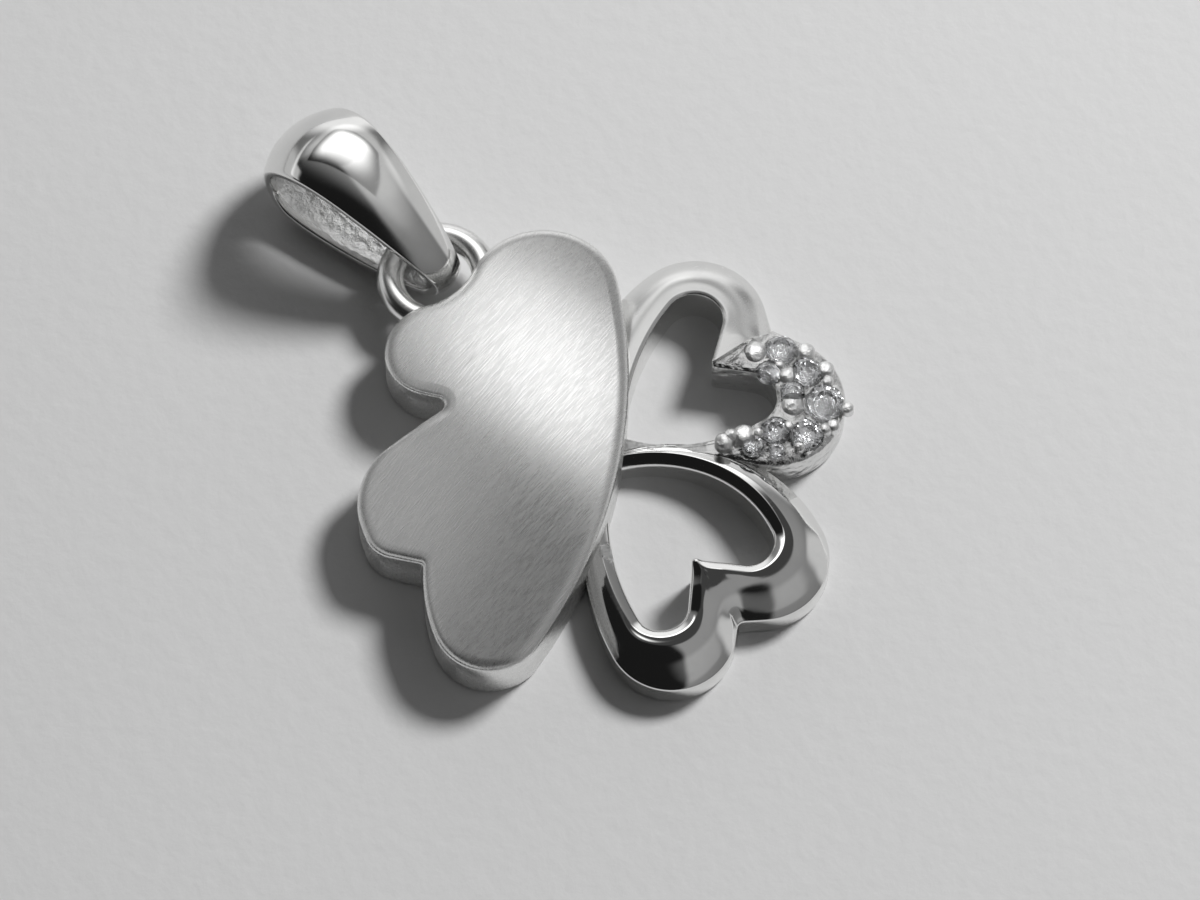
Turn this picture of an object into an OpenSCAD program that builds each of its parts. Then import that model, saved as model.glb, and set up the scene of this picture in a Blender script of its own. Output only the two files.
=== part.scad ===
// Four leaf clover pendant, lying on its flat back.
// +Z points out of its face and +Y towards the bail; the clover's centre is at the origin.

/* [Clover] */
// Width across the leaves
clover_w = 16.6; // [16.2:0.1:20]
// Rounding of the edges at the flat back
foot_round = 0.15; // [0.05:0.01:0.25]

/* [Satin double leaf] */
// Height of the plate's crest, halfway between the two leaves' ends
plate_h = 2.42; // [2.3:0.02:3]
// Fall of the plate along its crest to the leaves' ends
plate_bow = 0.5; // [0:0.02:0.6]
// Fall of the plate across its crest to the leaves' outer sides
plate_roll = 0.46; // [0:0.02:0.6]
// Height of the plate's rounded edge
plate_edge = 0.2; // [0.1:0.02:0.4]
// Width of the plate's rounded edge
plate_border = 0.4; // [0.2:0.02:0.6]

/* [Open hearts] */
// Height of a polished heart's outer edge
lip_h = 1; // [0.8:0.05:1.2]
// Height of a polished heart's inner edge, where its band is widest
rim_h = 1.78; // [1.4:0.02:1.85]
// Rounding of a heart's outer edge
lip_round = 0.14; // [0.05:0.01:0.2]
// Bevel of a heart's inner edge
rim_bevel = 0.1; // [0.04:0.01:0.12]

/* [Stone setting] */
// Height of the set half's outer edge
set_lip_h = 1.3; // [1.1:0.02:1.5]
// Height of the set half's inner edge, where its band is widest
set_rim_h = 1.56; // [1.4:0.02:1.7]
// Fall of the set half's arm from its lobe to the heart's tip
arm_fall = 0.5; // [0.3:0.02:0.6]
// Girdle diameter of the largest stone, as a share of half the clover's width
stone_share = 0.15; // [0.12:0.002:0.152]
// Height of the girdles above the set half's inner edge
girdle_lift = 0.06; // [0:0.01:0.12]
// Clearance between a stone and its seat
seat_gap = 0.03; // [0.02:0.01:0.06]
// Diameter of the largest grain, as a share of half the clover's width
grain_share = 0.08; // [0.05:0.002:0.086]
// Height of the grains' tops above the set half's inner edge
grain_lift = 0.24; // [0.15:0.01:0.35]

/* [Hanger ring] */
// Diameter of the ring's wire
ring_wire = 0.9; // [0.6:0.02:1]
// Radius of the ring at the middle of its wire
ring_r = 1.6; // [1.45:0.02:1.9]

/* [Bail] */
// Length of the bail
bail_l = 7.7; // [6.5:0.05:10]
// Height of the bail
bail_h = 4.55; // [4:0.05:5.5]
// Width of the bail at its far end
bail_w = 3.65; // [2.8:0.05:4.4]
// Width of the bail where it passes through the ring
bail_tip_w = 1.24; // [0.7:0.02:1.3]
// Thickness of the bail at the middle of its width
bail_t = 0.62; // [0.45:0.01:0.7]
// Thickness of the bail at its edges
bail_rim = 0.3; // [0.2:0.01:0.4]
// Fall of the bail's outside from its crest to its edges, at its far end
bail_crown = 0.56; // [0.3:0.02:0.6]
// Clearance between the bail's back and the ring
bail_gap = 0.08; // [0.03:0.01:0.15]
// Angle to which the loose bail has turned in its ring
bail_turn = 12; // [0:1:14]
// Distance by which the loose bail has slid sideways in its ring
bail_slide = 0.26; // [0:0.02:0.3]

/* [Hidden] */

// Centre of the clover to the end of a leaf; the tables below hold shares of it
leaf_l = clover_w / 2;
// Steps on each circle of an outline, and on each arc that joins two circles
circle_steps = 12;
join_steps = 6;

// Outlines are circles joined by arcs. Columns: x, y, radius and the joining arc's radius.
// A circle with a negative radius fills a notch, and so does a negative joining arc.
// The last joining arc of the plate is its long inner edge, and its two further columns give the
// shares of that edge that face the start and the end of each circle.
PLATE = [
    [0.217, 0.672, 0.307, -0.265, 0.00, 0.26],
    [-0.270, 0.737, 0.210, 5, 0.34, 0.43],
    [-0.425, 0.536, -0.034, 5, 0.475, 0.485],
    [-0.687, 0.211, 0.298, 0.7, 0.57, 0.64],
    [-0.854, 0.207, 0.140, 5, 0.66, 0.72],
    [-0.906, 0.012, -0.020, 0.72, 0.77, 0.78],
    [-0.805, -0.323, 0.231, 2.11, 0.84, 1.00],
];
// Open hearts, in a frame whose y runs from the clover's centre outwards along the leaf
BOTTOM_OUTER = [
    [0, 0.052, 0.052, 1.1],
    [0.243, 0.769, 0.259, 5],
    [0.004, 0.940, -0.030, 5],
    [-0.233, 0.729, 0.277, 0.66],
];
BOTTOM_INNER = [
    [-0.010, 0.090, 0.018, 1.0],
    [0.224, 0.686, 0.101, 5],
    [0.010, 0.628, -0.018, 5],
    [-0.214, 0.657, 0.111, 0.52],
];
RIGHT_OUTER = [
    [0, 0.050, 0.050, -1.3],
    [0.236, 0.689, 0.287, 5],
    [-0.020, 0.915, -0.030, 5],
    [-0.245, 0.664, 0.290, 0.68],
];
RIGHT_INNER = [
    [-0.020, 0.150, 0.018, 0.66],
    [0.171, 0.611, 0.111, 5],
    [-0.028, 0.600, -0.018, 5],
    [-0.233, 0.646, 0.115, 1],
];
// Shares of a band's width, from its outer to its inner edge, at which its crown is drawn
CROWN = [0, 0.15, 0.32, 0.5, 0.68, 0.85, 1];
// How fast the crown falls towards the outer edge
crown_power = 1.4;
// Width at which a band has its full height
full_w = 0.19 * leaf_l;
// Place of the plate's crest and of the leaves' outer sides across the two leaves
crest_at = 0.3 * leaf_l;
sides_at = 0.93 * leaf_l;
// Shares of the plate's rounded edge at which it is drawn
EDGE = [0, 0.08, 0.35, 1];
// Shares of the plate's width at which its dome is drawn
DOME = [0.07, 0.18, 0.32, 0.5, 0.68, 0.82, 0.93];

// Stones: x, y, diameter as a share of the largest, and outward lean in degrees
STONES = [
    [0.845, -0.082, 0.84, 12],
    [0.867, -0.225, 0.81, 10],
    [0.837, -0.380, 1.00, 10],
    [0.735, -0.139, 0.66, -6],
    [0.693, -0.446, 0.81, 12],
    [0.602, -0.355, 0.73, 0],
    [0.494, -0.349, 0.53, 0],
    [0.550, -0.430, 0.42, 6],
    [0.759, -0.265, 0.60, -4],
];
// Centre of the set lobe, away from which the stones lean
SET_LOBE = [0.689, -0.236] * leaf_l;
// Grains between the stones: x, y and diameter as a share of the largest
GRAINS = [
    [0.753, -0.027, 1.00], [0.797, -0.135, 0.45], [0.795, -0.190, 0.80], [0.729, -0.305, 1.00],
    [0.492, -0.293, 0.95], [0.410, -0.266, 0.75], [0.448, -0.262, 0.55], [0.918, -0.150, 0.75],
    [0.932, -0.262, 0.70], [0.905, -0.310, 0.45], [0.893, -0.452, 0.50], [0.800, -0.478, 0.55],
    [0.766, -0.470, 0.50], [0.655, -0.372, 0.45], [0.541, -0.322, 0.40], [0.634, -0.470, 0.45],
];
stone_d = stone_share * leaf_l;
grain_d = grain_share * leaf_l;
// Depth of a grain's root below the set half's outer edge, as a share of the largest grain
root_share = 0.45;
// Cut of a stone, as shares of its girdle diameter
table_share = 0.58;
crown_share = 0.17;
pavilion_share = 0.42;
girdle_share = 0.04;

// Centre of the hanger ring, in the top leaf's notch
RING_AT = [-0.046, 1.036] * leaf_l;
ring_z = bail_t + bail_gap + ring_wire / 2;
// The bail's play along itself before it meets the ring's wire, as a share of the ring's radius
play_share = 0.625;
// Place of the bail's near end, measured from the ring's centre along the bail
bail_start = ring_r - ring_wire / 2 - play_share * ring_r - bail_t;
// Outer line of the bail seen from its side: shares of its length and height
BAIL = [
    [0.000, 0.20], [0.030, 0.38], [0.165, 0.60], [0.370, 0.84], [0.570, 0.98], [0.740, 0.97],
    [0.890, 0.80], [0.985, 0.52], [0.965, 0.24], [0.860, 0.05], [0.700, 0.00], [0.450, 0.00],
    [0.200, 0.00], [0.060, 0.05],
];
// Steps of the bail between two rows of its table
bail_steps = 3;
// How fast the bail widens from its near end, and its width's loss at the far end
bail_flare = 1.85;
bail_loss = 0.26;
// Outside of the bail's section, from an edge to the crest. The first column is the place across, as a
// share of the half width. The others give the depth, as shares of the crown and of the edges' thickness.
SECTION = [[1, 1, 0.75], [1, 1, 0.3], [0.93, 0.88, 0], [0.78, 0.58, 0], [0.55, 0.28, 0], [0.25, 0, 0]];

// A number brought into the range from 0 to 360
function turned(a) = ((a % 360) + 360) % 360;

// Unit vector at an angle
function ray(a) = [cos(a), sin(a)];

// Centre of the arc of signed radius rj that touches circles p and q on their left
function join_centre(p, q, rj) =
    let (
        a = abs(rj - p[2]),
        b = abs(rj - q[2]),
        step = [q[0] - p[0], q[1] - p[1]],
        gap = norm(step),
        x = (a * a - b * b + gap * gap) / (2 * gap),
        h = sqrt(max(a * a - x * x, 0))
    )
    [p[0], p[1]] + step / gap * x + sign(rj) * h / gap * [-step[1], step[0]];

// A table's rows at their real size, drawn in by d
function sized(rows, d) = [
    for (r = rows) [r[0] * leaf_l, r[1] * leaf_l, r[2] * leaf_l - d, r[3] * leaf_l - d]
];

// Direction from the arc centred at c to the circle p, in which their common tangent point lies
function normal_angle(p, c, rj) =
    let (v = ([p[0], p[1]] - c) / (rj - p[2])) atan2(v[1], v[0]);

// Points of an outline, counter-clockwise, drawn in by d
function outline(rows, d, last_steps = join_steps) =
    let (
        k = sized(rows, d),
        n = len(k),
        centres = [for (i = [0:n - 1]) join_centre(k[i], k[(i + 1) % n], k[i][3])]
    )
    [
        for (i = [0:n - 1])
            let (
                p = k[i],
                q = k[(i + 1) % n],
                before = (i + n - 1) % n,
                way = rows[i][2] > 0 ? 1 : -1,
                a0 = normal_angle(p, centres[before], k[before][3]),
                a1 = normal_angle(p, centres[i], p[3]),
                swing = turned((a1 - a0) * way),
                sweep = swing > 359 ? 0 : swing,
                b1 = normal_angle(q, centres[i], p[3]),
                bend = turned(b1 - a1 + 180) - 180,
                steps = i == n - 1 ? last_steps : join_steps
            )
            each concat(
                [
                    for (j = [0:circle_steps - 1])
                        [p[0], p[1]] + p[2] * ray(a0 + way * sweep * j / circle_steps)
                ],
                [for (j = [0:steps - 1]) centres[i] + p[3] * ray(a1 + bend * j / steps)]
            )
    ];

// Plan points with a height each
function lifted(points, heights) = [for (i = [0:len(points) - 1]) [points[i][0], points[i][1], heights[i]]];

// The same height for each of n points
function level(n, h) = [for (i = [0:n - 1]) h];

// Triangles between two rings of n points that start at a and b in the point list
function strip(a, b, n) = [
    for (i = [0:n - 1])
        let (j = (i + 1) % n)
        each [[a + i, b + i, b + j], [a + i, b + j, a + j]]
];

// Closed body of rings that run round an opening, the last one meeting the first
module ring_body(rings) {
    n = len(rings[0]);
    m = len(rings);
    polyhedron(
        points = [for (r = rings) each r],
        faces = [for (k = [0:m - 1]) each strip(k * n, ((k + 1) % m) * n, n)]
    );
}

// Open heart: a band between two outlines, whose crown falls from its inner edge to its outer one.
// a holds the outer and inner edges' heights on the half with positive x, and b those of the other.
// The arm of the half with positive x falls towards the tip.
module open_heart(outer, inner, a, b, fall = 0) {
    edge = outline(outer, lip_round);
    hole = outline(inner, -rim_bevel);
    n = len(edge);
    half = 2 * (circle_steps + join_steps) + circle_steps / 2;
    // What the arm has lost at each point, all of it on the tip and nothing from the lobe on
    lost = [
        for (i = [0:n - 1])
            i > half ? 0 : fall * pow(1 - max(0, min(1, (i - circle_steps) / join_steps)), 1.5)
    ];
    lip = [for (i = [0:n - 1]) (i <= half ? a[0] : b[0]) - lost[i]];
    rim = [
        for (i = [0:n - 1])
            let (top = (i <= half ? a[1] : b[1]) - lost[i], w = norm(edge[i] - hole[i]))
            lip[i] + (top - lip[i]) * min(1, w / full_w)
    ];
    crown = [
        for (t = CROWN)
            lifted(
                [for (i = [0:n - 1]) edge[i] * (1 - t) + hole[i] * t],
                [for (i = [0:n - 1]) lip[i] + (rim[i] - lip[i]) * (1 - pow(1 - t, crown_power))]
            )
    ];
    ring_body(concat(
        [
            lifted(outline(outer, foot_round), level(n, 0)),
            lifted(outline(outer, 0), level(n, foot_round)),
            lifted(outline(outer, 0), [for (z = lip) z - lip_round]),
            lifted(outline(outer, 0.3 * lip_round), [for (z = lip) z - 0.3 * lip_round]),
        ],
        crown,
        [
            lifted(outline(inner, 0), [for (z = rim) z - rim_bevel]),
            lifted(outline(inner, 0), level(n, 0)),
        ]
    ));
}

// Shares of the plate's inner edge that face the points of its outer edge
function facing(rows) =
    let (n = len(rows))
    [
        for (i = [0:n - 1])
            each concat(
                [for (j = [0:circle_steps - 1]) rows[i][4] + (rows[i][5] - rows[i][4]) * j / circle_steps],
                i == n - 1 ? [rows[i][5]]
                : [for (j = [0:join_steps - 1]) rows[i][5] + (rows[i + 1][4] - rows[i][5]) * j / join_steps]
            )
    ];

// Plan ring of the plate: its outer edge, then its inner edge back to the start
function plate_ring(d) =
    let (
        rows = sized(PLATE, d),
        first = rows[0],
        last = rows[len(rows) - 1],
        c = join_centre(last, first, last[3]),
        from = normal_angle(last, c, last[3]),
        to = from + turned(normal_angle(first, c, last[3]) - from),
        shares = facing(PLATE),
        m = len(shares)
    )
    concat(
        outline(PLATE, d, 1),
        [for (i = [m - 2:-1:1]) c + last[3] * ray(to + (from - to) * shares[i])]
    );

// Height of the plate's dome at a point of its plan
function dome_h(p) =
    let (along = (p[0] + p[1]) / sqrt(2) / leaf_l, across = ((p[1] - p[0]) / sqrt(2) - crest_at) / (sides_at - crest_at))
    plate_h - plate_bow * along * along - plate_roll * across * across;

// Ring round the plate's edge at a share of its width, on a quarter of an ellipse
function edge_ring(t) = [
    for (p = plate_ring(t * plate_border)) [p[0], p[1], dome_h(p) - plate_edge * (1 - sqrt(1 - pow(1 - t, 2)))]
];

// Domed double leaf: the top and left leaves in one thick plate
module plate() {
    m = len(facing(PLATE));
    n = 2 * m - 2;
    top = plate_ring(plate_border);
    rings = concat(
        [lifted(plate_ring(foot_round), level(n, 0)), lifted(plate_ring(0), level(n, foot_round))],
        [for (t = EDGE) edge_ring(t)]
    );
    dome = [
        for (t = DOME)
            [
                for (i = [1:m - 2])
                    let (u = top[i] * (1 - t) + top[n - i] * t)
                    [u[0], u[1], dome_h(u)]
            ]
    ];
    base = len(rings) * n;
    last = base - n;
    rows = len(DOME);
    // Number of the point at step i of line k across the top, where lines 0 and rows + 1 are the edges
    function at(k, i) =
        i == 0 ? last
        : i == m - 1 ? last + m - 1
        : k == 0 ? last + i
        : k == rows + 1 ? last + n - i
        : base + (k - 1) * (m - 2) + i - 1;
    polyhedron(
        points = concat([for (r = rings) each r], [for (r = dome) each r]),
        faces = concat(
            [for (k = [0:len(rings) - 2]) each strip(k * n, (k + 1) * n, n)],
            [
                for (k = [0:rows], i = [1:m - 3])
                    let (a = at(k, i), b = at(k + 1, i), c = at(k + 1, i + 1), d = at(k, i + 1))
                    each [[a, b, c], [a, c, d]]
            ],
            [
                for (k = [0:rows])
                    each [[at(0, 0), at(k + 1, 1), at(k, 1)], [at(0, m - 1), at(k, m - 2), at(k + 1, m - 2)]]
            ],
            [for (i = [1:m - 3]) each [[i, i + 1, n - i - 1], [i, n - i - 1, n - i]]],
            [[0, 1, n - 1], [m - 1, m, m - 2]]
        )
    );
}

// Girdle height of the stones
girdle_z = set_rim_h + girdle_lift;

// Puts its children at a stone's girdle, leaning as the stone does
module at_stone(s) {
    p = [s[0], s[1]] * leaf_l;
    out = p - SET_LOBE;
    translate([p[0], p[1], girdle_z])
        rotate(s[3], v = [-out[1], out[0], 0])
            children();
}

// Cut stone with an eight-sided table, its girdle at the origin
module cut_stone(d) {
    hull() {
        translate([0, 0, crown_share * d])
            cylinder(h = 0.01, d = table_share * d, $fn = 8);
        rotate(22.5)
            cylinder(h = girdle_share * d, d = d, center = true, $fn = 16);
        translate([0, 0, -pavilion_share * d])
            cylinder(h = 0.01, d = 0.04 * d, $fn = 8);
    }
}

// Tapered seat that a stone sits in, open above its girdle
module seat(d) {
    r = d / 2 + seat_gap;
    translate([0, 0, -girdle_share * d - seat_gap])
        cylinder(h = grain_lift + stone_d, r = r, $fn = 20);
    translate([0, 0, -pavilion_share * d - seat_gap])
        cylinder(h = (pavilion_share - girdle_share) * d + 0.001, r1 = 0.1 * d, r2 = r, $fn = 20);
}

// Grain of metal raised beside a stone, its root sunk in the setting
module grain(g) {
    d = g[2] * grain_d;
    hull() {
        translate([g[0] * leaf_l, g[1] * leaf_l, set_rim_h + grain_lift - d / 2])
            sphere(d = d, $fn = 10);
        translate([g[0] * leaf_l, g[1] * leaf_l, set_lip_h - root_share * grain_d])
            cylinder(h = 0.01, d = d, $fn = 10);
    }
}

// Polished open heart below
module bottom_leaf() {
    rotate(180)
        open_heart(BOTTOM_OUTER, BOTTOM_INNER, [lip_h, rim_h], [lip_h, rim_h]);
}

// Open heart on the right, half polished and half set with stones
module right_leaf() {
    difference() {
        rotate(-90)
            open_heart(RIGHT_OUTER, RIGHT_INNER, [set_lip_h, set_rim_h], [lip_h, rim_h], arm_fall);
        for (s = STONES)
            at_stone(s)
                seat(s[2] * stone_d);
    }
}

// Ring for the bail, soldered into the top leaf's notch
module hanger_ring() {
    translate([RING_AT[0], RING_AT[1], ring_z])
        rotate_extrude($fn = 32)
            translate([ring_r, 0])
                circle(d = ring_wire, $fn = 12);
}

module clover_body() {
    color("silver")
        union() {
            plate();
            bottom_leaf();
            right_leaf();
            hanger_ring();
            difference() {
                for (g = GRAINS)
                    grain(g);
                for (s = STONES)
                    at_stone(s)
                        seat(s[2] * stone_d);
            }
        }
}

// Value at share t between the second and third of four numbers or vectors, on a smooth curve
function smooth_at(p, t) =
    0.5 * (2 * p[1] + (p[2] - p[0]) * t + (2 * p[0] - 5 * p[1] + 4 * p[2] - p[3]) * t * t
        + (3 * p[1] - p[0] - 3 * p[2] + p[3]) * t * t * t);

// Outer line of the bail at its real size, in steps
function bail_line() =
    let (n = len(BAIL))
    [
        for (i = [0:n - 1], s = [0:bail_steps - 1])
            let (p = [for (k = [-1:2]) BAIL[(i + k + n) % n]], q = smooth_at(p, s / bail_steps))
            [q[0] * bail_l, max(q[1], 0) * bail_h]
    ];

// Section of the bail: across and inwards, for half width w
function bail_section(w) =
    let (
        crown = bail_crown * min(1, 2 * w / bail_w),
        side = crown + bail_rim,
        half = concat(
            [[0.5 * w, bail_t + 0.25 * (side - bail_t)], [0.9 * w, side]],
            [for (r = SECTION) [r[0] * w, r[1] * crown + r[2] * bail_rim]]
        ),
        n = len(half)
    )
    concat([for (p = half) [-p[0], p[1]]], [for (i = [n - 1:-1:0]) half[i]]);

// Tapered loop through the ring, lying on its back
module bail() {
    line = bail_line();
    n = len(line);
    rings = [
        for (i = [0:n - 1])
            let (
                p = line[i],
                v = line[(i + 1) % n] - line[(i + n - 1) % n],
                inward = [v[1], -v[0]] / norm(v),
                t = p[0] / bail_l,
                flare = 1 - pow(1 - t, bail_flare) - bail_loss * pow(t, 5),
                w = (bail_tip_w + (bail_w - bail_tip_w) * flare) / 2
            )
            [for (s = bail_section(w)) [s[0], p[0] + inward[0] * s[1], p[1] + inward[1] * s[1]]]
    ];
    color("gainsboro")
        translate([RING_AT[0], RING_AT[1], 0])
            rotate(bail_turn)
                translate([bail_slide, bail_start, 0])
                    ring_body(rings);
}

module stone(i) {
    color("white")
        at_stone(STONES[i - 1])
            cut_stone(STONES[i - 1][2] * stone_d);
}

clover_body();
bail();
stone(1);  // stone_1
stone(2);  // stone_2
stone(3);  // stone_3
stone(4);  // stone_4
stone(5);  // stone_5
stone(6);  // stone_6
stone(7);  // stone_7
stone(8);  // stone_8
stone(9);  // stone_9
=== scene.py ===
"""Four leaf clover pendant: satin double leaf, open polished heart, half set open heart, ring and bail."""

import logging
import math
from dataclasses import dataclass
from enum import Enum

import bmesh
import bpy
import numpy as np
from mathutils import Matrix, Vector


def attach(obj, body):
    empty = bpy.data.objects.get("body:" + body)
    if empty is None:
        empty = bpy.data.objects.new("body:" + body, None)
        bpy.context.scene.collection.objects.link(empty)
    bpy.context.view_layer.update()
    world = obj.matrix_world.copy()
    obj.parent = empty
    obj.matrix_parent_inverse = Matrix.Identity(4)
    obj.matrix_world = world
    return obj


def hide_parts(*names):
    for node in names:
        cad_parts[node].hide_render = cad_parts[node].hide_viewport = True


log = logging.getLogger("pendant")
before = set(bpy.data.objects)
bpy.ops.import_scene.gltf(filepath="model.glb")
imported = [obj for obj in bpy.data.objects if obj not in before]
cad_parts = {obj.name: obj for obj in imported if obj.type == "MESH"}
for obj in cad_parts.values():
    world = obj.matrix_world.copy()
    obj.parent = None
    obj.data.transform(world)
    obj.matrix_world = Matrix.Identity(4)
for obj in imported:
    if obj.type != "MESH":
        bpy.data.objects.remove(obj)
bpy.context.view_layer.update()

# Metres in a millimetre
MM = 0.001
# Half the clover's width, in millimetres
LEAF = 8.3
# Radius of the rounding between the back and the walls, in millimetres, and its number of rings
FOOT_ROUND = 0.15
FOOT_STEPS = 5
# Distance under which two points of a mesh are one, in metres
MERGE = 1e-7
# Middle of the ring in the top leaf's notch, as shares of half the clover's width
RING_SPOT = (-0.046, 1.036)
# Rounding of a heart's inner edge from its crown to its wall: across and down, as shares of its width
RIM = (
    (0.06, 0.01), (0.12, 0.03), (0.20, 0.065), (0.30, 0.115), (0.40, 0.168), (0.50, 0.223), (0.60, 0.28),
    (0.70, 0.34), (0.78, 0.395), (0.86, 0.465), (0.92, 0.545), (0.96, 0.64), (0.99, 0.76), (1.0, 0.9),
)


class Slot(Enum):
    """Material slots of the record."""

    SATIN = "satin_silver"
    POLISHED = "polished_silver"
    STONE = "clear_stone"


# Plan lines


@dataclass(frozen=True)
class Walk:
    """Points on arcs: their centres, signed radii and outward normals."""

    centre: np.ndarray
    radius: np.ndarray
    normal: np.ndarray

    def inset(self, depth: float | np.ndarray) -> np.ndarray:
        """Plan points at centre + (radius - depth) * normal, drawn in by the depth."""
        return self.centre + (self.radius - depth)[:, None] * self.normal


@dataclass(frozen=True)
class PlanLine:
    """Closed line of circles joined by tangent arcs, counter-clockwise, as shares of half the clover's width.

    A row holds a circle's x, y and signed radius, and the signed radius of the arc that joins it to
    the next circle. A negative radius fills a notch. The joining arc's centre lies |bend - radius|
    from each of its two circles' centres.
    """

    rows: tuple[tuple[float, ...], ...]

    def arcs(self) -> tuple[np.ndarray, np.ndarray, np.ndarray, np.ndarray]:
        """Works out the circles and their joining arcs, in turn.

        Returns:
            Their centres, signed radii, first angles and signed sweeps.
        """
        table = np.array(self.rows)[:, :4] * LEAF
        spot, r, bend = table[:, :2], table[:, 2], table[:, 3]
        after, r_after = np.roll(spot, -1, 0), np.roll(r, -1)
        step = after - spot
        gap = np.linalg.norm(step, axis=1)
        a, b = np.abs(bend - r), np.abs(bend - r_after)
        x = (a * a - b * b + gap * gap) / (2 * gap)
        h = np.sqrt(np.maximum(a * a - x * x, 0)) * np.sign(bend)
        side = np.stack([-step[:, 1], step[:, 0]], 1)
        join = spot + (step * x[:, None] + side * h[:, None]) / gap[:, None]
        leave = (spot - join) / (bend - r)[:, None]
        arrive = (after - join) / (bend - r_after)[:, None]
        end = np.arctan2(leave[:, 1], leave[:, 0])
        land = np.arctan2(arrive[:, 1], arrive[:, 0])
        start, way = np.roll(land, 1), np.sign(r)
        swing = (end - start) * way % (2 * np.pi)
        # A sweep just short of a whole turn is a rounding error of no sweep
        swing = np.where(swing > 2 * np.pi - 0.02, 0, swing) * way
        turn = (land - end + np.pi) % (2 * np.pi) - np.pi

        def paired(circles: np.ndarray, joins: np.ndarray) -> np.ndarray:
            """Circles' and joining arcs' values in turn."""
            return np.stack([circles, joins], 1).reshape((-1,) + circles.shape[1:])

        return paired(spot, join), paired(r, bend), paired(start, end), paired(swing, turn)

    def walk(self, at: np.ndarray) -> Walk:
        """Finds points on the line. An arc's angle is its first angle + fraction * sweep.

        Args:
            at: arc numbers with fractions.

        Returns:
            The points, with what it takes to draw them in.
        """
        centre, radius, first, sweep = self.arcs()
        k = np.minimum(np.floor(at).astype(int), len(radius) - 1)
        angle = first[k] + sweep[k] * (at - k)
        return Walk(centre[k], radius[k], np.stack([np.cos(angle), np.sin(angle)], 1))

    def spread(self, spacing: float, arcs: int, twin: "PlanLine | None" = None) -> np.ndarray:
        """Spreads places evenly along each of the first arcs.

        Args:
            spacing: distance between two places, at most, in millimetres.
            arcs: how many arcs get places.
            twin: line with as many arcs, whose length counts where it is the longer one.

        Returns:
            Arc numbers with fractions.
        """
        length = np.abs(self.arcs()[1] * self.arcs()[3])
        if twin is not None:
            length = np.maximum(length, np.abs(twin.arcs()[1] * twin.arcs()[3]))
        counts = np.maximum(np.ceil(length[:arcs] / spacing).astype(int), 4)
        return np.concatenate([k + np.arange(n) / n for k, n in enumerate(counts)])


def turned(points: np.ndarray, degrees: float) -> np.ndarray:
    """Turns points about the Z axis by an angle a: x cos a - y sin a, x sin a + y cos a.

    Args:
        points: points, with their coordinates last.
        degrees: the angle, counter-clockwise seen from above.

    Returns:
        The turned points.
    """
    a = math.radians(degrees)
    spin = np.array([[math.cos(a), math.sin(a)], [-math.sin(a), math.cos(a)]])
    out = points.copy()
    out[..., :2] = points[..., :2] @ spin
    return out


def lift(plan: np.ndarray, height: float | np.ndarray) -> np.ndarray:
    """Plan points with their heights as a third column."""
    return np.concatenate([plan, np.broadcast_to(height, len(plan))[:, None]], 1)


def eased(x: np.ndarray, low: float, high: float) -> np.ndarray:
    """Smooth step 3t^2 - 2t^3 of x between a low and a high value."""
    t = np.clip((x - low) / (high - low), 0, 1)
    return t * t * (3 - 2 * t)


def soft_depth(plan: np.ndarray, line: np.ndarray) -> np.ndarray:
    """Measures a smooth distance from plan points to a closed line.

    It is (2 / pi * sum of ds / q^4)^(-1/3) over the line's steps ds at distances q, which is the plain
    distance beside a straight line and has no crease between two lines.

    Args:
        plan: plan points, with their coordinates last.
        line: the line's points in order.

    Returns:
        The distances.
    """
    step = np.linalg.norm(np.roll(line, -1, 0) - np.roll(line, 1, 0), axis=1) / 2
    apart = ((plan[..., None, :] - line) ** 2).sum(-1)
    return (2 / np.pi * (step / np.maximum(apart, 1e-6) ** 2).sum(-1)) ** (-1 / 3)


def foot_rings(walk: Walk) -> list[np.ndarray]:
    """Rounds the edge between the back and a wall: at an angle a, R (1 - sin a) in and R (1 - cos a) up.

    Args:
        walk: the wall's line.

    Returns:
        Rings of points, from the back up.
    """
    rings = []
    for a in np.linspace(0, np.pi / 2, FOOT_STEPS):
        depth = np.full(len(walk.radius), FOOT_ROUND * (1 - math.sin(a)))
        rings.append(lift(walk.inset(depth), FOOT_ROUND * (1 - math.cos(a))))
    return rings


# Meshes


def grid_faces(rows: int, cols: int, start: int = 0, ring: bool = True, loop: bool = False) -> np.ndarray:
    """Numbers the quads of a grid of points, row after row.

    Args:
        rows: number of rows of points.
        cols: number of points in a row.
        start: number of the first point.
        ring: whether each row closes on itself.
        loop: whether the last row meets the first.

    Returns:
        Point numbers, four for each quad.
    """
    lower, left = np.arange(rows if loop else rows - 1), np.arange(cols if ring else cols - 1)
    i, j = np.meshgrid(lower, left, indexing="ij")
    i, j = i.ravel(), j.ravel()
    up, on = (i + 1) % rows, (j + 1) % cols
    return start + np.stack([i * cols + j, i * cols + on, up * cols + on, up * cols + j], 1)


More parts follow.
